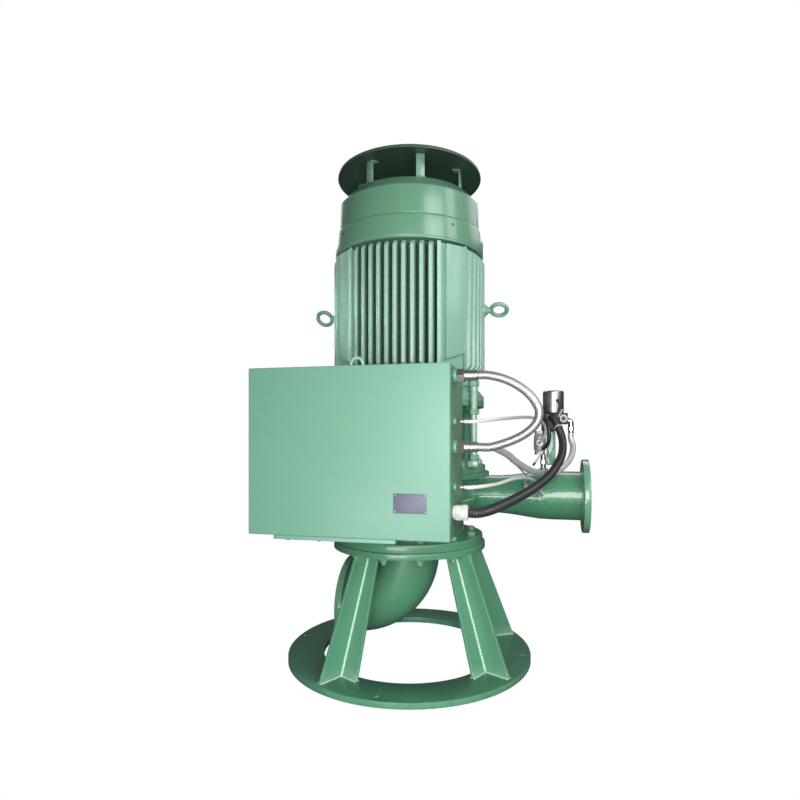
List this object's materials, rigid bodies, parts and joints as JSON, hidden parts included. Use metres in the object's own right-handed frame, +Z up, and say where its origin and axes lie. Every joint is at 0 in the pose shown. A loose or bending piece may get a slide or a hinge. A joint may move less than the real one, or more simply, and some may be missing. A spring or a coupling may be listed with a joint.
{
  "type": "self-priming pump",
  "caption": "Vertical self-priming pump on a round stand, with an elbow inlet below, a flanged outlet at the side, a finned motor under a rain cap, and a control box with hoses in front.",
  "frame": {"origin": "middle of the base on the floor, taken over the whole pump without its hoses", "axes": "+X towards the outlet flange, +Y from the control box to the back, +Z up along the shaft"},
  "size_m": [1.116, 1.01, 1.823],
  "materials": {
    "stand_green": "gloss enamel, mid green",
    "motor_green": "satin enamel, grey green",
    "box_green": "satin enamel, light green",
    "bare_steel": "bare machined steel",
    "dark_steel": "oiled steel",
    "steel_braid": "woven stainless wire",
    "pale_tube": "smooth pale tube",
    "black_plastic": "ribbed and plain black plastic",
    "white_plastic": "moulded white plastic"
  },
  "bodies": {
    "root": {"base_ring": "stand_green", "leg_front_left": "stand_green", "leg_front_right": "stand_green", "leg_back_right": "stand_green", "leg_back_left": "stand_green", "support_plate": "stand_green", "suction_elbow": "stand_green", "suction_flange": "stand_green", "volute_casing": "stand_green", "discharge_flange": "stand_green", "casing_cover": "stand_green", "motor_stool": "stand_green", "stool_head": "stand_green", "rain_cap": "stand_green", "box_bracket_upper": "stand_green", "box_bracket_lower": "stand_green", "valve_bracket": "stand_green", "motor_end_shield": "motor_green", "motor_frame": "motor_green", "cowl_band": "motor_green", "fan_cowl": "motor_green", "cap_strut_1": "motor_green", "cap_strut_2": "motor_green", "cap_strut_3": "motor_green", "cap_strut_4": "motor_green", "cap_strut_5": "motor_green", "cap_strut_6": "motor_green", "flush_pipe": "motor_green", "eyebolt_right": "motor_green", "eyebolt_left": "motor_green", "control_box": "box_green", "box_bottom_strip": "box_green", "eyebolt_box": "box_green", "hose_fitting_top": "bare_steel", "hose_fitting_middle": "bare_steel", "hose_fitting_back": "bare_steel", "tube_fitting_upper": "bare_steel", "tube_fitting_lower": "bare_steel", "tube_fitting_back": "bare_steel", "valve_nipple": "bare_steel", "valve_body": "bare_steel", "actuator_cylinder": "bare_steel", "sensing_tapping": "bare_steel", "drain_tapping": "bare_steel", "shaft_coupling": "dark_steel", "loop_hose": "steel_braid", "return_hose": "steel_braid", "air_tube": "pale_tube", "sensing_tube": "pale_tube", "drain_tube": "pale_tube", "actuator_housing": "black_plastic", "actuator_port": "black_plastic", "cable_conduit": "black_plastic", "link_hose": "black_plastic", "cable_gland": "white_plastic"}
  },
  "joints": []
}
